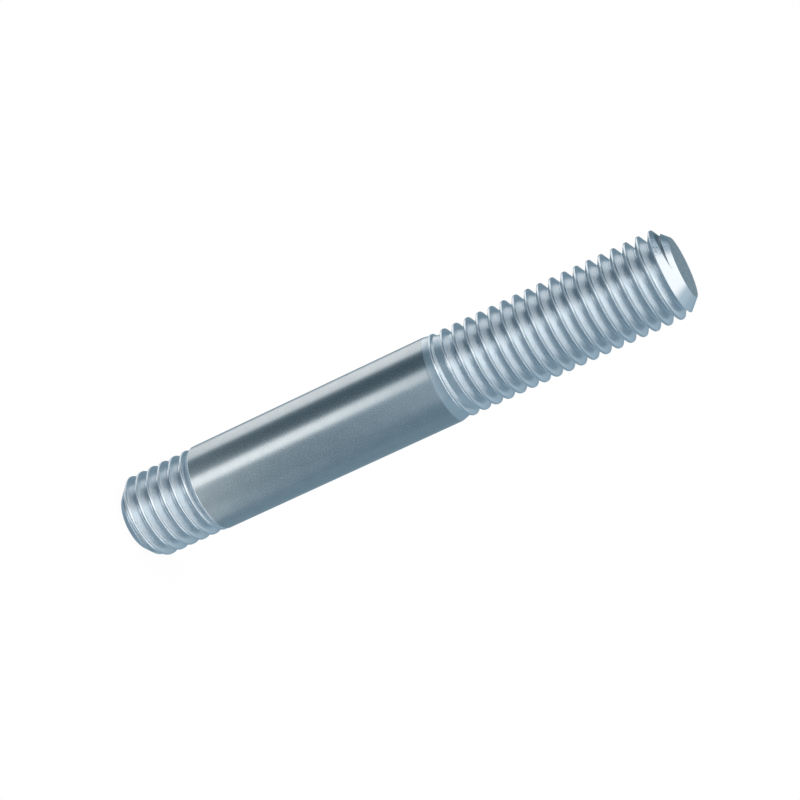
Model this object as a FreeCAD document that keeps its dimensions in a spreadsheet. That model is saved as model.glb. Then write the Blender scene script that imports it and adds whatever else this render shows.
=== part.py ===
import FreeCAD, Part
import math
import os

import Sketcher

# A plain-shank stud bolt: one piece of steel bar, threaded at both ends.
# The short thread, the stud end, screws into a tapped hole. The long thread, the nut end, takes a
# washer and a nut. Both are rolled right-hand metric coarse threads, and the shank between them
# keeps the full diameter. Each groove runs out on the cone that the shank ends in.
#
# The origin is the centre of the stud end's flat face, and +Z runs along the axis to the nut end.
# Lengths are in millimetres and angles in degrees.

NODE = "stud_bolt"
SHEET = "Dimensions"

# Driving dimensions: alias, value, what it is on the real piece
DRIVING = [
    ("nominal_length", 70.0, "from the shank's lower end to the nut end's face"),
    ("stud_end_length", 12.0, "from the stud end's face to the shank"),
    ("nut_end_length", 34.4, "from the shank's upper end to the nut end's face"),
    ("nominal_diameter", 12.0, "thread size, and the plain shank"),
    ("thread_pitch", 1.75, "both threads"),
    ("crest_drop", 0.075, "how far the rolled crests stay under the shank's surface"),
    ("groove_depth", 0.805, "from the crests to the bottom of a groove"),
    ("flank_angle", 30.0, "each flank, from a plane square to the axis"),
    ("stud_face_diameter", 8.3, "flat face of the stud end"),
    ("nut_face_diameter", 8.3, "flat face of the nut end"),
    ("chamfer_angle", 45.0, "both end chamfers, from the axis"),
    ("stud_edge_length", 0.55, "eased edge at the shank's lower end, down to the crests"),
    ("stud_runout_angle", 36.0, "cone below that edge, from the axis"),
    ("nut_runout_angle", 16.0, "cone at the shank's upper end, from the axis"),
    ("nut_crest_offset", 0.6, "from the shank's upper end to where the crests begin"),
    ("stud_groove_offset", 0.76, "from the stud end's face to the first groove, on the -X side"),
    ("nut_groove_offset", 0.135, "from the shank's upper end to the last groove, on the -X side"),
]

# Sizes that follow from the driving ones: alias, formula
DERIVED = [
    ("total_length", "=stud_end_length + nominal_length"),
    ("shank_top", "=total_length - nut_end_length"),
    ("shank_radius", "=nominal_diameter / 2"),
    ("crest_radius", "=shank_radius - crest_drop"),
    ("root_radius", "=crest_radius - groove_depth"),
    # the shank's cones are carried on to here, inside the threads' core
    ("core_radius", "=root_radius - thread_pitch / 10"),
    ("stud_edge", "=stud_end_length - stud_edge_length"),
    ("shank_foot", "=stud_edge - (crest_radius - core_radius) / tan(stud_runout_angle)"),
    ("shank_head", "=shank_top + (shank_radius - core_radius) / tan(nut_runout_angle)"),
    # the bar is turned down beside the shank's upper end, where the shank's cone takes its place
    ("neck_low", "=shank_top - thread_pitch"),
    ("neck_high", "=shank_top + nut_crest_offset"),
    ("stud_face_radius", "=stud_face_diameter / 2"),
    ("nut_face_radius", "=nut_face_diameter / 2"),
    ("stud_chamfer_top", "=(crest_radius - stud_face_radius) / tan(chamfer_angle)"),
    ("nut_chamfer_foot", "=total_length - (crest_radius - nut_face_radius) / tan(chamfer_angle)"),
    # the groove's section stands out past the crests, so that its cut is open there
    ("mouth_radius", "=crest_radius + thread_pitch / 16"),
    ("mouth_half", "=(mouth_radius - root_radius) * tan(flank_angle)"),
    # each groove starts on the +X side, a turn and a half before the offset on the -X side
    ("stud_groove_start", "=stud_groove_offset - 1.5 * thread_pitch"),
    ("stud_groove_low", "=stud_groove_start - mouth_half"),
    ("stud_groove_high", "=stud_groove_start + mouth_half"),
    ("stud_groove_rise", "=stud_end_length - stud_groove_start + thread_pitch"),
    ("nut_groove_start", "=shank_top + nut_groove_offset - 1.5 * thread_pitch"),
    ("nut_groove_low", "=nut_groove_start - mouth_half"),
    ("nut_groove_high", "=nut_groove_start + mouth_half"),
    ("nut_groove_rise", "=total_length - nut_groove_start + thread_pitch"),
]

STEEL_DENSITY = 7.85e-3  # grams per cubic millimetre

# the standard's groove is this share of the pitch deep, with a round root. The plain V of this solid
# is as wide at the crests as the real groove, so its bottom lies a little above the real root.
STANDARD_DEPTH_SHARE = 0.61343


def make_sheet(doc):
    """The sheet that every size of the piece is bound to."""
    sheet = doc.addObject("Spreadsheet::Sheet", SHEET)
    row = 1
    for alias, size, meaning in DRIVING:
        sheet.set(f"A{row}", meaning)
        sheet.set(f"B{row}", str(size))
        sheet.setAlias(f"B{row}", alias)
        row += 1
    for alias, formula in DERIVED:
        sheet.setAlias(f"B{row}", alias)
        sheet.set(f"A{row}", alias.replace("_", " "))
        sheet.set(f"B{row}", formula)
        row += 1
    doc.recompute()
    return sheet


def hold_corner(sketch, line, kind, alias):
    """Hold a line's first point at a size from the sheet, or on the sketch's own axis for None."""
    if alias is None:
        own_axis = {"DistanceX": -2, "DistanceY": -1}[kind]
        sketch.addConstraint(Sketcher.Constraint("PointOnObject", line, 1, own_axis))
        return
    size = float(sketch.Document.getObject(SHEET).get(alias))
    index = sketch.addConstraint(Sketcher.Constraint(kind, -1, 1, line, 1, size))
    name = f"{alias}_{line}"
    sketch.renameConstraint(index, name)
    sketch.setExpression(f"Constraints.{name}", f"{SHEET}.{alias}")


def make_outline(body, name, corners):
    """A closed outline of straight lines in the plane of X and Z.

    Each corner is a radius and a height, given as aliases, or None for a place on the axis or on
    the stud end's face.
    """
    sheet = body.Document.getObject(SHEET)
    plane = next(item for item in body.Origin.OriginFeatures if item.Role == "XZ_Plane")
    sketch = body.newObject("Sketcher::SketchObject", name)
    sketch.AttachmentSupport = [(plane, "")]
    sketch.MapMode = "FlatFace"

    points = []
    for radius, height in corners:
        x = float(sheet.get(radius)) if radius else 0.0
        y = float(sheet.get(height)) if height else 0.0
        points.append(FreeCAD.Vector(x, y, 0))
    for start, end in zip(points, points[1:] + points[:1]):
        sketch.addGeometry(Part.LineSegment(start, end))

    count = len(corners)
    for line in range(count):
        following = (line + 1) % count
        sketch.addConstraint(Sketcher.Constraint("Coincident", line, 2, following, 1))
    for line, (radius, height) in enumerate(corners):
        hold_corner(sketch, line, "DistanceX", radius)
        hold_corner(sketch, line, "DistanceY", height)
    body.Document.recompute()
    return sketch


def revolve(body, name, sketch):
    """Turn an outline a full turn about the axis and join it to the body."""
    feature = body.newObject("PartDesign::Revolution", name)
    feature.Profile = sketch
    feature.ReferenceAxis = (sketch, ["V_Axis"])
    feature.Angle = 360
    body.Document.recompute()
    return feature


def cut_groove(body, end):
    """Cut one thread's groove, a right-hand helix that runs through the end named."""
    before = body.Shape.Volume
    section = make_outline(
        body,
        f"{end}_groove_section",
        [
            ("mouth_radius", f"{end}_groove_low"),
            ("root_radius", f"{end}_groove_start"),
            ("mouth_radius", f"{end}_groove_high"),
        ],
    )
    groove = body.newObject("PartDesign::SubtractiveHelix", f"{end}_groove")
    groove.Profile = section
    groove.ReferenceAxis = (section, ["V_Axis"])
    groove.Mode = "pitch-height-angle"
    groove.Angle = 0
    groove.LeftHanded = False
    groove.Reversed = False
    groove.setExpression("Pitch", f"{SHEET}.thread_pitch")
    groove.setExpression("Height", f"{SHEET}.{end}_groove_rise")
    body.Document.recompute()
    removed = before - body.Shape.Volume
    print(f"{end} groove removes {removed:.1f} mm3")
    if removed <= 0:
        raise RuntimeError(f"the {end} groove cuts nothing")


def make_stud(doc):
    """The whole piece: bar with chamfered ends, its two grooves, then the shank over their ends."""
    body = doc.addObject("PartDesign::Body", "StudBolt")
    body.Label = NODE

    bar = make_outline(
        body,
        "bar_outline",
        [
            (None, None),
            ("stud_face_radius", None),
            ("crest_radius", "stud_chamfer_top"),
            ("crest_radius", "neck_low"),
            ("core_radius", "neck_low"),
            ("core_radius", "neck_high"),
            ("crest_radius", "neck_high"),
            ("crest_radius", "nut_chamfer_foot"),
            ("nut_face_radius", "total_length"),
            (None, "total_length"),
        ],
    )
    revolve(body, "Bar", bar)

    cut_groove(body, "stud")
    cut_groove(body, "nut")

    shank = make_outline(
        body,
        "shank_outline",
        [
            (None, "shank_foot"),
            ("core_radius", "shank_foot"),
            ("crest_radius", "stud_edge"),
            ("shank_radius", "stud_end_length"),
            ("shank_radius", "shank_top"),
            ("core_radius", "shank_head"),
            (None, "shank_head"),
        ],
    )
    revolve(body, "Shank", shank)
    return body


def check_document(doc):
    """Stop if any object of the document failed to compute."""
    for item in doc.Objects:
        if "Invalid" in item.State or "Error" in item.State:
            raise RuntimeError(f"{item.Label}: {item.State}")


def write_step(piece):
    """Write one piece's solid, after making sure that it is whole."""
    shape = piece.Shape
    if shape.isNull() or not shape.isValid() or len(shape.Solids) != 1:
        raise RuntimeError(f"{piece.Label} isn't one valid solid")
    os.makedirs("parts", exist_ok=True)
    shape.exportStep(f"parts/{piece.Label}.step")
    box = shape.optimalBoundingBox()
    print(f"{piece.Label}: {shape.Volume:.1f} mm3, {shape.Volume * STEEL_DENSITY:.1f} g of steel")
    print(f"height {box.ZMin:.2f} to {box.ZMax:.2f} mm")


doc = FreeCAD.newDocument("StudBolt")
sheet = make_sheet(doc)
stud = make_stud(doc)
doc.recompute()
check_document(doc)

# the thread against the standard's
standard_depth = STANDARD_DEPTH_SHARE * sheet.get("thread_pitch")
print(f"groove depth {sheet.get('groove_depth'):.3f} mm, standard {standard_depth:.3f} mm")
lead_angle = math.degrees(math.atan(sheet.get("thread_pitch") / (2 * math.pi * sheet.get("crest_radius"))))
print(f"helix angle {lead_angle:.2f} degrees at the crests")
write_step(stud)
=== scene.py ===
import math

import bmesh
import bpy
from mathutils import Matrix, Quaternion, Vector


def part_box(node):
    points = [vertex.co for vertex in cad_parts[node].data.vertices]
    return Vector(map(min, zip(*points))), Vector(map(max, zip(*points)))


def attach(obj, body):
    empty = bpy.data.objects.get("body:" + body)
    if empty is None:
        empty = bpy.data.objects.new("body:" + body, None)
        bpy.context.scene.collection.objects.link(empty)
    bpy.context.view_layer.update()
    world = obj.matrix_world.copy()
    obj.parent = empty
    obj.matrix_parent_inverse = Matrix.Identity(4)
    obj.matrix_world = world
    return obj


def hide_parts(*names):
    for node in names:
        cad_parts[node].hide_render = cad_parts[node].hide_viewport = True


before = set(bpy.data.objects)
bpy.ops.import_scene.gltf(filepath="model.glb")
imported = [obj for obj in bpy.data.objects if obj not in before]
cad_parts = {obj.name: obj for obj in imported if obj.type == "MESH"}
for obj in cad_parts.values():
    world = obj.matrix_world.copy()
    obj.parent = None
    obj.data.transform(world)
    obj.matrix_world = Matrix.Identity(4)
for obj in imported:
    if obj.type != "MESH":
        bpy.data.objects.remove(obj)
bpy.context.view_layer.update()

# %% [markdown]
# # A plain-shank stud bolt
#
# The object is one piece of steel: a round bar with a short thread on one end, a long thread on the
# other and a plain shank between them, plated with zinc. It has no joints and nothing is fixed to it,
# so the whole lesson is about one good mesh and one good metal.
#
# The solid from the drawing is already in the scene, standing on its short end with the axis along Z.
# Its grooves are plain V cuts with wide flats between them. The real ones are pressed in by rolling
# dies and are deeper, with rounded crests and round roots, and that rounding is what gives a plated
# thread its soft bands of light. So the drawing's solid gives the sizes and the position, and a finer
# mesh takes its place.
#
# Everything is in metres, and the sizes below are millimetres times MM.

MM = 0.001
solid_low, solid_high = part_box("stud_bolt")
total_length = solid_high.z - solid_low.z
shank_radius = (solid_high.x - solid_low.x) / 2

print(f"the solid is {total_length / MM:.2f} mm long and {2 * shank_radius / MM:.2f} mm across")

# %% [markdown]
# ## Sizes of the real piece
#
# Both threads are metric coarse, with 1.75 mm from one crest to the next. The stud end is as long as
# the stud is thick. The nut end is longer, and its grooves fade out on a gentle cone at the shank.
# The main sizes are named once here and used by the steps that follow. A thread also needs one place
# where a crest lies at a known height, or it would have the right form but the wrong turn. Here that
# is the height of a crest on the -X side of each end.

# %% Sizes
pitch = 1.75 * MM
pitch_radius = 5.432 * MM
crest_radius = 5.93 * MM
flank_angle = math.radians(30)

stud_end_length = 12.0 * MM
shank_top = 47.6 * MM
stud_face_radius = 4.15 * MM
nut_face_radius = 4.15 * MM

stud_crest_height = 1.70 * MM
nut_crest_height = 48.61 * MM

print(f"{(total_length - shank_top) / pitch:.1f} turns on the nut end")
print(f"{stud_end_length / pitch:.1f} turns on the stud end")

# %% [markdown]
# ## Helpers for working on one object at a time
#
# Blender's operators act on everything that is selected, and the drawing's solid is selected when it
# has been loaded. So each step starts by deselecting everything. These helpers do that, and then run
# the few edit-mode operators that the lesson uses again and again.

# %% Selection helpers
merge_distance = 0.0005 * MM


def only(piece):
    """Select one object and make it the active one."""
    bpy.ops.object.select_all(action="DESELECT")
    piece.select_set(True)
    bpy.context.view_layer.objects.active = piece


def edit_all(piece):
    """Go into edit mode on one object, with all of it selected."""
    only(piece)
    bpy.ops.object.mode_set(mode="EDIT")
    bpy.ops.mesh.select_all(action="SELECT")


def clean_up(piece):
    """Merge doubled points, then turn every face outwards."""
    edit_all(piece)
    bpy.ops.mesh.remove_doubles(threshold=merge_distance)
    bpy.ops.mesh.normals_make_consistent(inside=False)
    bpy.ops.object.mode_set(mode="OBJECT")


def apply_modifier(piece, modifier):
    """Make a modifier's result the object's own mesh."""
    only(piece)
    bpy.ops.object.modifier_apply(modifier=modifier.name)


print(f"points closer than {merge_distance / MM:.4f} mm are merged")

# %% [markdown]
# ## Drawing a line to turn
#
# Every surface of this piece is a line carried round the axis: a helix for the threads, a circle for
# all the rest. The line could be a curve object, but a mesh line keeps exact points. It is made as by
# hand: a small plane is merged to one point, and the point is extruded from place to place.

# %% Draw a line, and turn it
steps_around = 120


def draw_line(name, places):
    """A line of edges through (radius, height) places in the plane of X and Z."""
    points = [Vector((radius, 0, height)) for radius, height in places]
    bpy.ops.object.select_all(action="DESELECT")
    bpy.ops.mesh.primitive_plane_add(size=pitch)
    line = bpy.context.object
    line.name = name
    bpy.ops.object.mode_set(mode="EDIT")
    bpy.ops.mesh.merge(type="CENTER")
    bpy.ops.transform.translate(value=points[0])
    for here, there in zip(points, points[1:]):
        bpy.ops.mesh.extrude_region_move(TRANSFORM_OT_translate={"value": there - here})
    bpy.ops.object.mode_set(mode="OBJECT")
    return line


def turn_on_lathe(name, outline):
    """A closed round piece from an outline that starts and ends on the axis."""
    piece = draw_line(name, outline)
    edit_all(piece)
    bpy.ops.mesh.spin(steps=steps_around, angle=2 * math.pi, center=(0, 0, 0), axis=(0, 0, 1))
    bpy.ops.object.mode_set(mode="OBJECT")
    clean_up(piece)
    print(f"{name}: turned, {len(piece.data.polygons)} faces")
    return piece


# %% [markdown]
# ## The section of one turn
#
# The section of a rolled thread is two straight flanks at 60 degrees to each other, with a rounded
# crest and a rounded root. The flanks pass the pitch radius a quarter of a pitch away from the crest.
# The crest has a narrow flat with a round corner at each side, because the dies don't fill to the
# top. In the root an arc touches both flanks. Light and shade meet sharply there in the photograph,
# so the arc is smaller than the 0.144 of the pitch that a textbook drawing shows.
#
# The section could be drawn point by point, but then one change of an arc would move every point. So
# it is worked out from the arcs, and only half of it: the other half is its mirror image. The two
# ends have arcs of their own, because the stud end's roots are rounder than the nut end's.

# %% One turn's section
arc_steps = 4
flank_steps = 2


def arc_places(centre, arc, start, end):
    """Places on an arc about (radius, height), with angles measured from straight outwards."""
    angles = [start + (end - start) * step / arc_steps for step in range(arc_steps + 1)]
    return [(centre[0] + arc * math.cos(angle), centre[1] + arc * math.sin(angle)) for angle in angles]


def thread_section(crest_corner_arc, root_arc_share):
    """Places over one pitch, from root to root, as (radius, height above the first root)."""
    sharp_crest = pitch_radius + pitch / 4 / math.tan(flank_angle)
    sharp_root = pitch_radius - pitch / 4 / math.tan(flank_angle)
    reach = math.pi / 2 - flank_angle

    root_arc = root_arc_share * pitch
    root_centre = (sharp_root + root_arc / math.sin(flank_angle), 0)
    root = arc_places(root_centre, root_arc, math.pi, math.pi - reach)

    # the corner's centre lies one corner arc inside both the flank and the flat
    flat_half = (sharp_crest - crest_radius) * math.tan(flank_angle)
    corner_half = flat_half - crest_corner_arc * math.tan(reach / 2)
    corner_centre = (crest_radius - crest_corner_arc, pitch / 2 - corner_half)
    corner = arc_places(corner_centre, crest_corner_arc, -reach, 0)

    lower, upper = Vector(root[-1]), Vector(corner[0])
    flank = [tuple(lower.lerp(upper, step / flank_steps)) for step in range(1, flank_steps)]
    rising = root + flank + corner
    falling = [(radius, pitch - height) for radius, height in reversed(rising)]
    return rising + falling


stud_section = thread_section(crest_corner_arc=0.10 * MM, root_arc_share=0.12)
nut_section = thread_section(crest_corner_arc=0.12 * MM, root_arc_share=0.07)
for name, section in (("stud", stud_section), ("nut", nut_section)):
    groove_depth = (crest_radius - section[0][0]) / MM
    print(f"{name} end: {len(section)} points over one pitch, groove {groove_depth:.3f} mm deep")

# %% [markdown]
# ## Carrying the section round as a screw
#
# The Screw modifier turns a line about an axis and lifts it on the way. With a lift of one pitch a
# turn, the top of each turn lands on the bottom of the next, and merging the doubled points closes
# the seam. Spin can't lift the line, and an array of rings would make grooves that never meet.
#
# Each rod is made too long and is then cut flat with bisect, which fills the cut, so it comes out as a
# closed body.

# %% Make a threaded rod
spare_turns = 2
cut_tolerance = merge_distance / 5


def cut_flat(piece, height, keep_above):
    """Cut a piece flat at a height, and fill the cut."""
    edit_all(piece)
    bpy.ops.mesh.bisect(
        plane_co=(0, 0, height),
        plane_no=(0, 0, 1),
        use_fill=True,
        clear_inner=keep_above,
        clear_outer=not keep_above,
        threshold=cut_tolerance,
    )
    bpy.ops.object.mode_set(mode="OBJECT")


def threaded_rod(name, section, crest_height, low, high):
    """A closed threaded rod from low to high, with a crest at crest_height on the -X side."""
    turns_below = math.ceil((crest_height - low) / pitch) + spare_turns
    # the line stands on the +X side, half a turn away, and starts in a root
    start = crest_height - pitch - turns_below * pitch
    rod = draw_line(name, [(radius, start + height) for radius, height in section])

    screw = rod.modifiers.new("screw", "SCREW")
    screw.axis = "Z"
    screw.angle = 2 * math.pi
    screw.screw_offset = pitch
    screw.iterations = math.ceil((high - start) / pitch) + spare_turns
    screw.steps = steps_around
    screw.render_steps = steps_around
    apply_modifier(rod, screw)
    clean_up(rod)
    cut_flat(rod, low, keep_above=True)
    cut_flat(rod, high, keep_above=False)
    clean_up(rod)
    print(f"{name}: {len(rod.data.polygons)} faces")
    return rod


# %% [markdown]
# ## One rod for each end
#
# On the real stud the two threads are rolled one after the other, and they don't start at the same
# angle. One rod through the whole length would give both the same start, so each end gets its own.
# A rod stands out a little past the stud's end, and reaches a little into the shank, where the pieces
# are joined later.

# %% Threaded rods
spare_length = 1 * MM
overlap = 2 * MM
stud_thread = threaded_rod(
    "stud_thread", stud_section, stud_crest_height, -spare_length, stud_end_length + overlap
)
nut_thread = threaded_rod(
    "nut_thread", nut_section, nut_crest_height, shank_top - overlap, total_length + spare_length
)

# %% [markdown]
# ## The bar that each thread was rolled on
#
# The rods run right through both ends. A real stud is a bar with turned, chamfered ends first, and
# the dies roll it afterwards. In the mesh it is easier the other way round: a bar is turned for each
# end, and the rod is then cut down to what lies inside it.
#
# The bar is a little wider than the crests, so it trims only the ends. Near the shank it narrows, so
# that the first crest of the nut end rises out of the cone in half a turn, as on the real one.

# %% Turn the bars
bar_clearance = 0.02 * MM
bar_radius = crest_radius + bar_clearance
crest_rise_start = (5.79 * MM, 47.9 * MM)
crest_rise_end = (bar_radius, 48.6 * MM)
inner_radius = 4.6 * MM

stud_bar = turn_on_lathe(
    "stud_bar",
    [
        (0, 0),
        (stud_face_radius, 0),
        (bar_radius, bar_radius - stud_face_radius),
        (bar_radius, stud_end_length + overlap / 2),
        (0, stud_end_length + overlap / 2),
    ],
)
nut_bar = turn_on_lathe(
    "nut_bar",
    [
        (0, shank_top - overlap / 2),
        (inner_radius, shank_top - overlap / 2),
        crest_rise_start,
        crest_rise_end,
        (bar_radius, total_length - (bar_radius - nut_face_radius)),
        (nut_face_radius, total_length),
        (0, total_length),
    ],
)

# %% [markdown]
# ## Trimming the rods
#
# What the rod and the bar have in common is the finished end. A Boolean modifier set to intersect
# keeps just that. The chamfer could also be cut with many bisects, one for each small turn, but the
# Boolean does it in one step, leaves a closed body, and lets the groove close on the chamfer as the
# real one does.

# %% Trim the rods to the bars
def boolean_with(piece, tool, operation):
    """Join or trim a piece with another closed piece, which is then deleted."""
    boolean = piece.modifiers.new("boolean", "BOOLEAN")
    boolean.operation = operation
    boolean.solver = "MANIFOLD"
    boolean.object = tool
    apply_modifier(piece, boolean)
    bpy.data.objects.remove(tool)


boolean_with(stud_thread, stud_bar, "INTERSECT")
boolean_with(nut_thread, nut_bar, "INTERSECT")
print(f"stud end {len(stud_thread.data.polygons)} faces, nut end {len(nut_thread.data.polygons)} faces")

# %% [markdown]
# ## The shank
#
# The shank is turned too. Its lower end has an eased edge and a short cone, where the stud end's last
# groove stops. The edge is given by five places, so that its rounding starts gently. Its upper end is
# a long gentle cone, and the nut end's first grooves run out on it. A bevel could round the lower
# edge, but the line that is turned already has room for the places, so no further step is needed.
# Both cones carry on inside the threads, so that joining the three leaves no gap.
#
# Extra rings lie close to each edge. Smooth shading blends from ring to ring, so close rings keep the
# blend short: the edges look soft, and the long wall stays straight.

# %% Turn the shank
lower_edge = [(5.72, 11.32), (5.93, 11.72), (5.99, 11.83), (6.0, 11.86), (6.0, 11.89)]
lower_cone_angle = math.radians(36)
upper_cone_angle = math.radians(16)
ring_gap = 0.12 * MM

edge_radius, edge_height = lower_edge[0][0] * MM, lower_edge[0][1] * MM
lower_cone = (edge_radius - inner_radius) / math.tan(lower_cone_angle)
upper_cone = (shank_radius - inner_radius) / math.tan(upper_cone_angle)
stud = turn_on_lathe(
    "stud",
    [
        (0, edge_height - lower_cone),
        (inner_radius, edge_height - lower_cone),
        *[(radius * MM, height * MM) for radius, height in lower_edge],
        (shank_radius, stud_end_length + ring_gap),
        (shank_radius, shank_top - ring_gap),
        (shank_radius - ring_gap * math.tan(upper_cone_angle), shank_top + ring_gap),
        (inner_radius, shank_top + upper_cone),
        (0, shank_top + upper_cone),
    ],
)

# %% [markdown]
# ## One closed piece
#
# The stud is one piece of steel, so the mesh has to be one closed skin too. Three bodies pushed into
# each other would look much the same, but they would hide faces inside, and they couldn't be weighed
# or printed. A Boolean union takes those faces away. Every edge then has just two faces: the count of
# open edges shows it, and the volume can be set against the drawing's solid.

# %% Join the three and check the mesh
def measure(piece):
    """Open edges, volume in cubic millimetres and triangles of a mesh."""
    net = bmesh.new()
    net.from_mesh(piece.data)
    open_edges = sum(1 for edge in net.edges if len(edge.link_faces) != 2)
    volume = net.calc_volume(signed=True) / MM**3
    triangles = sum(len(face.verts) - 2 for face in net.faces)
    net.free()
    return open_edges, volume, triangles


boolean_with(stud, stud_thread, "UNION")
boolean_with(stud, nut_thread, "UNION")
clean_up(stud)

open_edges, volume, triangles = measure(stud)
print(f"{open_edges} open edges, {volume:.0f} mm3, {triangles} triangles")

# %% [markdown]
# ## Smooth shading
#
# Nothing on the real piece has facets, but the edges of its chamfers and its sawn ends are crisp.
# Smooth shading everywhere would smear those edges, and more faces would make the mesh heavy. So the
# angle between two faces decides: small angles are shaded smooth, and large ones stay sharp.

# %% Shade by angle
sharp_angle = math.radians(32)
only(stud)
bpy.ops.object.shade_smooth_by_angle(angle=sharp_angle)
print(f"edges of more than {math.degrees(sharp_angle):.0f} degrees stay sharp")

# %% [markdown]
# ## Zinc-plated steel
#
# Zinc plating is metal all through, so the shader is fully metallic and its colour is the colour of
# its reflections: a light grey with a good deal of blue. The plating is satin rather than polished,
# and its roughness wavers a little from place to place. An image of plating could be wrapped round
# the stud, but it would show a join and a fixed sharpness. A noise pattern has neither.
#
# Object coordinates are used throughout: the piece's mesh stands where the object does, so the grain
# stays on it from every view.

# %% Nodes for the finishes
cloud_detail = 4
grain_detail = 3


def spread_value(nodes, links, source, low, high, name):
    """Map a 0 to 1 value to the span from low to high."""
    spread = nodes.new("ShaderNodeMapRange")
    spread.label = name
    spread.inputs["To Min"].default_value = low
    spread.inputs["To Max"].default_value = high
    links.new(source, spread.inputs["Value"])
    return spread.outputs["Result"]


def noise(nodes, links, size, detail, name):
    """A noise pattern with patches of about the given size, in metres."""
    place = nodes.new("ShaderNodeTexCoord")
    pattern = nodes.new("ShaderNodeTexNoise")
    pattern.label = name
    pattern.inputs["Scale"].default_value = 1 / size
    pattern.inputs["Detail"].default_value = detail
    links.new(place.outputs["Object"], pattern.inputs["Vector"])
    return pattern.outputs["Fac"]


def zinc_plating(name, roughness, dark, light, cloud_size, grain_size, grain_depth):
    """Bluish satin metal: cloudy from dark to light, with a span of roughness and a fine grain."""
    material = bpy.data.materials.new(name)
    material.use_nodes = True
    nodes, links = material.node_tree.nodes, material.node_tree.links
    shader = nodes["Principled BSDF"]
    shader.inputs["Metallic"].default_value = 1.0

    cloud = noise(nodes, links, cloud_size, cloud_detail, "cloud")
    tint = nodes.new("ShaderNodeMix")
    tint.data_type = "RGBA"
    tint.inputs["A"].default_value = (*dark, 1)
    tint.inputs["B"].default_value = (*light, 1)
    links.new(cloud, tint.inputs["Factor"])
    links.new(tint.outputs["Result"], shader.inputs["Base Color"])

    grain = noise(nodes, links, grain_size, grain_detail, "grain")
    satin = spread_value(nodes, links, grain, *roughness, "satin")
    links.new(satin, shader.inputs["Roughness"])
    bump = nodes.new("ShaderNodeBump")
    bump.inputs["Distance"].default_value = grain_depth
    links.new(grain, bump.inputs["Height"])
    links.new(bump.outputs["Normal"], shader.inputs["Normal"])
    return material


# %% [markdown]
# ## Five finishes of one plating
#
# Plating follows what is under it. The dies burnish the threads, the nut end's a little more than the
# stud end's, and the turned chamfer beside them shines most. The shank keeps the fine grain of the
# drawn bar and looks darker, and the sawn ends are rough and blotched. Five materials built by hand
# would soon drift apart, so one function makes them all, and they stay one plating.
#
# A finish is a span of roughness, two colours, and the sizes of its clouds and its grain.

# %% The finishes
rolled_colours = (0.70, 0.755, 0.795), (0.75, 0.80, 0.835)
rolled_grain = 1.5 * MM, 0.4 * MM, 0.0003 * MM
rolled = zinc_plating("zinc on the nut end", (0.29, 0.33), *rolled_colours, *rolled_grain)
softened = zinc_plating("zinc on the stud end", (0.30, 0.38), *rolled_colours, *rolled_grain)
chamfered = zinc_plating("zinc on the nut chamfer", (0.21, 0.25), *rolled_colours, *rolled_grain)

drawn_colours = (0.44, 0.48, 0.50), (0.54, 0.59, 0.61)
drawn_grain = 1.5 * MM, 0.15 * MM, 0.0012 * MM
drawn = zinc_plating("zinc on the drawn shank", (0.21, 0.31), *drawn_colours, *drawn_grain)

turned_colours = (0.08, 0.11, 0.12), (0.80, 0.86, 0.88)
turned_grain = 0.3 * MM, 0.14 * MM, 0.004 * MM
turned = zinc_plating("zinc on the sawn ends", (0.28, 0.40), *turned_colours, *turned_grain)

finishes = [rolled, drawn, turned, chamfered, softened]
stud.data.materials.clear()
for finish in finishes:
    stud.data.materials.append(finish)
print(f"{len(finishes)} finishes")

# %% [markdown]
# ## The depth under the chamfer's cone
#
# Where the thread leaves the nut end's chamfer, its last groove closes to a narrow seam. The shade that
# falls in it is painted into the colour as a dark seam. The painted shade could be put on a map, but its
# place follows from the form: it is what lies deeper than the chamfer's cone. On that cone, which slopes
# at 45 degrees, a point's radius and height always have the same sum. In the groove the sum is smaller,
# and the difference serves as the depth.

# %% Measure the depth in the chamfer's material
chamfer_start = total_length - (crest_radius - nut_face_radius)


def combine(nodes, links, operation, first, second):
    """One Math node on two sources, or with a number in place of one of them."""
    sums = nodes.new("ShaderNodeMath")
    sums.operation = operation
    for socket, value in zip(sums.inputs, (first, second)):
        if isinstance(value, float):
            socket.default_value = value
        else:
            links.new(value, socket)
    return sums.outputs["Value"]


nodes, links = chamfered.node_tree.nodes, chamfered.node_tree.links
place = nodes.new("ShaderNodeTexCoord").outputs["Object"]
parts = nodes.new("ShaderNodeSeparateXYZ")
links.new(place, parts.inputs["Vector"])
flat_place = nodes.new("ShaderNodeVectorMath")
flat_place.operation = "MULTIPLY"
flat_place.inputs[1].default_value = (1, 1, 0)
links.new(place, flat_place.inputs[0])
axis_distance = nodes.new("ShaderNodeVectorMath")
axis_distance.operation = "LENGTH"
links.new(flat_place.outputs["Vector"], axis_distance.inputs[0])

place_sum = combine(nodes, links, "ADD", axis_distance.outputs["Value"], parts.outputs["Z"])
depth = combine(nodes, links, "SUBTRACT", nut_face_radius + total_length, place_sum)
print(f"the chamfer starts at a height of {chamfer_start / MM:.2f} mm")

# %% [markdown]
# ## The dark seam and the specks
#
# Beside the seam, dark specks lie in the plating, on the side of -X. They are far too small to model,
# so both are drawn into the colour: the seam as painted shade from the depth, and the specks from the
# peaks of a fine noise. Each pattern is a product of ramps, which are 1 where it belongs and 0 where it
# doesn't.

# %% Paint the seam's shade and draw the specks
painted_shade_depths = 0.02 * MM, 0.06 * MM
painted_shade_heights = chamfer_start + 0.2 * MM, chamfer_start + 0.5 * MM
speck_heights = chamfer_start - 0.3 * MM, chamfer_start + 0.1 * MM
speck_side = -2.2 * MM, -3.2 * MM
speck_size = 0.16 * MM
speck_detail = 2
speck_peaks = 0.54, 0.62
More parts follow.
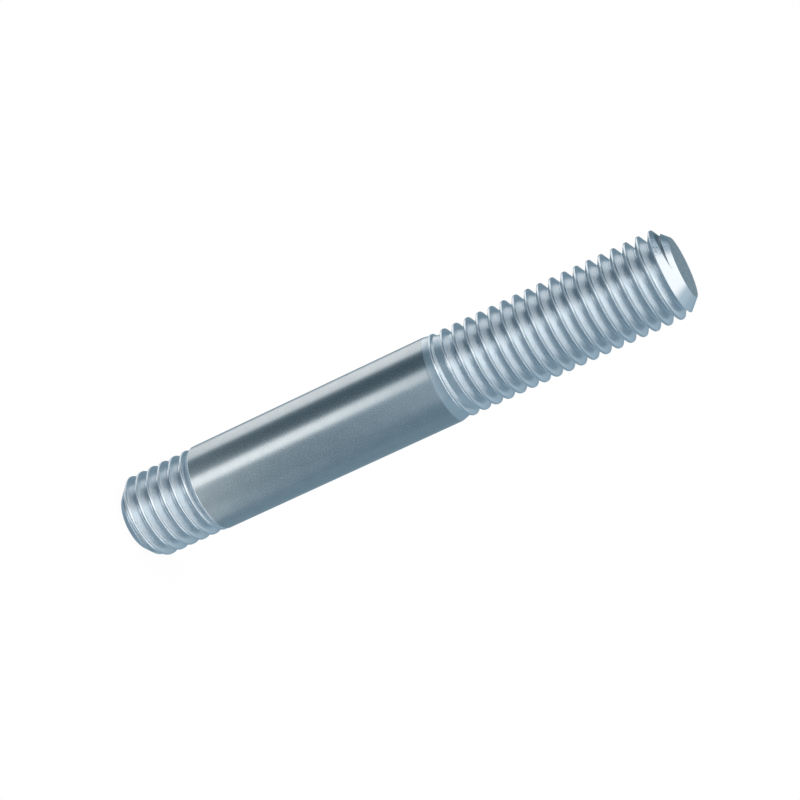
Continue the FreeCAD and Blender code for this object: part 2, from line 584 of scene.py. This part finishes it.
# the dark colour painted into the seam as shade, and given to the specks too
shade_and_speck_colour = (0.10, 0.14, 0.17, 1)
shade_and_speck_strength = 0.8


def ramp(nodes, links, source, start, end, name):
    """0 up to the start, 1 from the end on, and a straight ramp between them."""
    step = nodes.new("ShaderNodeMapRange")
    step.label = name
    step.inputs["From Min"].default_value = start
    step.inputs["From Max"].default_value = end
    links.new(source, step.inputs["Value"])
    return step.outputs["Result"]


# painted shade: the last groove is darkened where it lies deeper than the cone near the end
in_groove = ramp(nodes, links, depth, *painted_shade_depths, "deeper than the cone")
near_end = ramp(nodes, links, parts.outputs["Z"], *painted_shade_heights, "near the end")
painted_seam_shade = combine(nodes, links, "MULTIPLY", in_groove, near_end)

on_chamfer = ramp(nodes, links, parts.outputs["Z"], *speck_heights, "on the chamfer")
at_left = ramp(nodes, links, parts.outputs["X"], *speck_side, "at the left")
speckle = noise(nodes, links, speck_size, speck_detail, "specks")
peaks = ramp(nodes, links, speckle, *speck_peaks, "peaks")
specks = combine(nodes, links, "MULTIPLY", combine(nodes, links, "MULTIPLY", peaks, on_chamfer), at_left)

# the painted shade of the seam and the specks, whichever is darker
seam_shade_and_specks = combine(nodes, links, "MAXIMUM", painted_seam_shade, specks)
darkened = nodes.new("ShaderNodeMix")
darkened.data_type = "RGBA"
darkened.inputs["B"].default_value = shade_and_speck_colour
base_colour = nodes["Principled BSDF"].inputs["Base Color"]
links.new(base_colour.links[0].from_socket, darkened.inputs["A"])
links.new(combine(nodes, links, "MULTIPLY", seam_shade_and_specks, shade_and_speck_strength), darkened.inputs["Factor"])
links.new(darkened.outputs["Result"], base_colour)
print(f"{len(nodes)} nodes in the chamfer's material")

# %% [markdown]
# ## Which face gets which finish
#
# The faces could be picked by hand in edit mode, but a face knows its centre, and that is enough. The
# shank's faces lie on the full radius, and the sawn ends at the very ends. From the start of the nut
# end's chamfer comes the finish with the seam's painted shade. Of the rest, all that is lower than the
# stud end's length has the stud end's finish, and the remainder has the nut end's.

# %% Give out the finishes
slack = 0.05 * MM


def finish_of(face):
    """0 for the nut end, 1 for the shank, 2 for the flat ends, 3 for the chamfer, 4 for the stud end."""
    place = face.center
    radius = math.hypot(place.x, place.y)
    if stud_end_length - slack < place.z < shank_top + slack and radius > shank_radius - slack:
        return 1
    if min(place.z, total_length - place.z) < merge_distance:
        return 2
    if place.z > chamfer_start - slack:
        return 3
    if place.z < stud_end_length:
        return 4
    return 0


counts = [0] * len(finishes)
for face in stud.data.polygons:
    face.material_index = finish_of(face)
    counts[face.material_index] += 1
for finish, count in zip(finishes, counts):
    print(f"{finish.name}: {count} faces")

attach(stud, "root")
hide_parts("stud_bolt")

# %% [markdown]
# ## The floor
#
# The floor is a plain pale sheet that the stud stands on. White paint alone would come out grey where
# the light is weak. So to the camera the sheet also glows and blends into the white background, and
# the small share of it that doesn't glow keeps a faint shadow.

# %% Floor
floor_radius = 4
floor_white = (0.9, 0.9, 0.9, 1)
glow_share = 0.96


def seen_directly(nodes, links):
    """1 for rays from the camera, or through gloss and glass, and 0 for the light that fills the scene."""
    path = nodes.new("ShaderNodeLightPath")
    total = path.outputs["Is Camera Ray"]
    for ray in ("Is Glossy Ray", "Is Transmission Ray"):
        larger = nodes.new("ShaderNodeMath")
        larger.operation = "MAXIMUM"
        links.new(total, larger.inputs[0])
        links.new(path.outputs[ray], larger.inputs[1])
        total = larger.outputs["Value"]
    return total


def pale_floor():
    """White card that glows towards the camera, with room left for the shadow."""
    material = bpy.data.materials.new("pale floor")
    material.use_nodes = True
    nodes, links = material.node_tree.nodes, material.node_tree.links
    card = nodes["Principled BSDF"]
    card.inputs["Base Color"].default_value = floor_white
    card.inputs["Roughness"].default_value = 1.0
    glow = nodes.new("ShaderNodeEmission")
    share = nodes.new("ShaderNodeMath")
    share.operation = "MULTIPLY"
    share.inputs[1].default_value = glow_share
    blend = nodes.new("ShaderNodeMixShader")
    links.new(seen_directly(nodes, links), share.inputs[0])
    links.new(share.outputs["Value"], blend.inputs["Fac"])
    links.new(card.outputs["BSDF"], blend.inputs[1])
    links.new(glow.outputs["Emission"], blend.inputs[2])
    links.new(blend.outputs["Shader"], nodes["Material Output"].inputs["Surface"])
    return material


bpy.ops.object.select_all(action="DESELECT")
bpy.ops.mesh.primitive_circle_add(
    vertices=64, radius=floor_radius, fill_type="NGON", location=(0, 0, 0)
)
floor = bpy.context.object
floor.name = "floor"
floor.data.materials.append(pale_floor())
floor.visible_glossy = False
print(f"the floor is {2 * floor_radius} m across")

# %% [markdown]
# ## The background
#
# The photograph has a plain white background. A white sheet could stand behind the stud, but a white
# world is simpler, has no edge and lights the floor evenly.

# %% Background
world = bpy.data.worlds.new("white room")
bpy.context.scene.world = world
world.use_nodes = True
sky = world.node_tree.nodes["Background"]
sky.inputs["Color"].default_value = (1, 1, 1, 1)
sky.inputs["Strength"].default_value = 1.0
print("the world is plain white")

# %% [markdown]
# ## A painted tent round the stud
#
# A satin metal shows little of itself and a lot of what stands round it. Photographers therefore put
# a bright part in a tent of white cloth, with grey cards hung in it. Real cards could be modelled
# too, but their hard edges show in the metal. So the tent here is a globe, and its cards are painted
# on with soft edges, each over the ones before it.

# %% Soft painting
base_level = 0.42


def soft_step(value, width):
    """0 well below zero and 1 well above it, with a soft change of the given width between."""
    share = min(max(value / width + 0.5, 0), 1)
    return share * share * (3 - 2 * share)


def painted_level(turn, lift, regions):
    """The level at a compass and a height angle after every region is painted."""
    level = base_level
    for compass, height, paint, width in regions:
        off = abs((turn - sum(compass) / 2 + 180) % 360 - 180)
        half = (compass[1] - compass[0]) / 2
        cover = soft_step(half - off, width) if half < 180 else 1
        cover *= soft_step(lift - height[0], width) * soft_step(height[1] - lift, width)
        level += (paint - level) * cover
    return level


print(f"the bare cloth has a level of {base_level}")

# %% [markdown]
# ## What stands round the stud
#
# A region is given by two compass angles, two height angles, its level, where 1 is the white of the
# background, and the width of its soft edge. Compass 0 is the camera's side, and -90 is the side of
# -X. A room with furniture would do the same work, but here each band of light can be set by itself.
#
# The dark bands of the shank come from the dark card at the left and the dim one in front, and the
# crisp light band between them from the narrow strip. The flanks that look up are lit by the bright
# table in front.

# %% The regions of the tent
REGIONS = {
    "near table": ((-180, 180), (-100, -58), 0.32, 14),
    "table at the left": ((-120, -50), (-50, -28), 1.0, 8),
    "table in front": ((-58, 52), (-60, -28), 1.5, 9),
    "middle of the table": ((-30, 26), (-56, -32), 2.25, 10),
    "table at the right": ((48, 96), (-50, -29), 2.1, 7),
    "back left light": ((-148, -98), (-27, 0), 1.2, 8),
    "dark card": ((-94, -44), (-29, 10), 0.14, 9),
    "strip": ((-40, -15), (-30, -10), 1.7, 6),
    "top of the strip": ((-40, -15), (-9, 10), 0.85, 6),
    "front card": ((-14, 56), (-27, -12), 0.25, 7),
    "right wall": ((56, 98), (-27, 2), 0.33, 8),
    "far wall": ((98, 178), (-28, 14), 0.38, 12),
    "back wall": ((178, 212), (-28, 14), 0.32, 10),
    "wall in front": ((-12, 45), (-9, 11), 0.66, 9),
    "high wall": ((-180, 60), (12, 33), 0.25, 10),
    "high wall at the back": ((60, 180), (14, 33), 0.5, 10),
    "ceiling at the back": ((60, 240), (35, 56), 0.62, 12),
    "ceiling in front": ((-110, 60), (35, 56), 0.95, 12),
    "overhead": ((-180, 180), (58, 100), 1.28, 12),
}
print(f"{len(REGIONS)} regions")

# %% [markdown]
# ## Painting the globe
#
# The paint could be an image, but a globe with small faces can hold a colour at each of its points,
# and needs no map. Dim places are painted slate blue and bright ones white, as in a room by daylight,
# and between two levels the slate fades into the white.

# %% Paint the globe
tent_radius = 0.8
tent_segments, tent_rings = 180, 90
slate = (0.66, 1.0, 1.25)
white_from, white_to = 0.26, 1.05
stud_middle = Vector((0, 0, total_length / 2))

bpy.ops.object.select_all(action="DESELECT")
bpy.ops.mesh.primitive_uv_sphere_add(
    segments=tent_segments, ring_count=tent_rings, radius=tent_radius, location=stud_middle
)
tent = bpy.context.object
tent.name = "tent"
paint_layer = tent.data.color_attributes.new(name="paint", type="FLOAT_COLOR", domain="POINT")
levels = []
for corner, dot in zip(tent.data.vertices, paint_layer.data):
    place = corner.co
    turn = math.degrees(math.atan2(place.x, -place.y))
    lift = math.degrees(math.asin(max(-1, min(1, place.z / tent_radius))))
    level = painted_level(turn, lift, REGIONS.values())
    levels.append(level)
    whiteness = min(max((level - white_from) / (white_to - white_from), 0), 1)
    dot.color = [level * (tint + (1 - tint) * whiteness) for tint in slate] + [1]
print(f"the tent's levels run from {min(levels):.2f} to {max(levels):.2f}")

# %% [markdown]
# ## The tent's cloth
#
# The cloth glows in its painted colours, as white cloth does with daylight behind it. Lamps outside a
# real sheet would give the same look with much more noise. The tent is seen only in the metal: it
# hides nothing from the camera, and it neither lights nor shades the floor.

# %% Cloth
cloth = bpy.data.materials.new("tent cloth")
cloth.use_nodes = True
nodes, links = cloth.node_tree.nodes, cloth.node_tree.links
paint_colour = nodes.new("ShaderNodeVertexColor")
paint_colour.layer_name = "paint"
glow = nodes.new("ShaderNodeEmission")
links.new(paint_colour.outputs["Color"], glow.inputs["Color"])
links.new(glow.outputs["Emission"], nodes["Material Output"].inputs["Surface"])
tent.data.materials.append(cloth)
tent.visible_camera = False
tent.visible_diffuse = False
tent.visible_shadow = False
print(f"{cloth.name}: glows in the colours of the layer {paint_colour.layer_name}")

# %% [markdown]
# ## Light
#
# One large softbox above lights the floor. A small lamp would draw a hard shadow, which the photograph
# doesn't have. The softbox isn't seen in the metal, where the tent already gives every band of light.

# %% Light
softbox_place = (-0.4, -0.2, 0.9)
softbox_size = 0.8
softbox_watts = 4

bpy.ops.object.select_all(action="DESELECT")
bpy.ops.object.light_add(type="AREA", location=softbox_place)
softbox = bpy.context.object
softbox.name = "softbox"
softbox.data.shape = "RECTANGLE"
softbox.data.size = softbox_size
softbox.data.size_y = softbox_size
softbox.data.energy = softbox_watts
softbox.rotation_euler = (stud_middle - softbox.location).to_track_quat("-Z", "Y").to_euler()
softbox.visible_glossy = False
softbox.visible_camera = False
print(f"a softbox of {softbox_size} m and {softbox_watts} W")

# %% [markdown]
# ## The camera
#
# The photograph was taken from close by, so the far end looks smaller. A long lens from far away would
# lose that. The camera's place and lens were worked out from the outline of the stud: 0.28 m in front,
# 0.13 m up, and rolled on its side, so that the standing stud lies across the picture.

# %% Camera
camera_place = Vector((0, -275.65, 125.66)) * MM
camera_aim = Vector((0.09, 0, 41.03)) * MM
camera_roll = math.radians(65.01)
camera_lens = 99.3
sensor_width = 36
nearest_seen = 0.01

bpy.ops.object.camera_add(location=camera_place)
camera = bpy.context.object
camera.data.sensor_width = sensor_width
camera.data.lens = camera_lens
camera.data.clip_start = nearest_seen
level_view = (camera_aim - camera_place).to_track_quat("-Z", "Y")
camera.rotation_euler = (level_view @ Quaternion((0, 0, 1), camera_roll)).to_euler()
bpy.context.scene.camera = camera
bpy.context.scene.view_settings.view_transform = "Standard"
print(f"the camera stands {(camera_aim - camera_place).length / MM:.0f} mm from the stud")
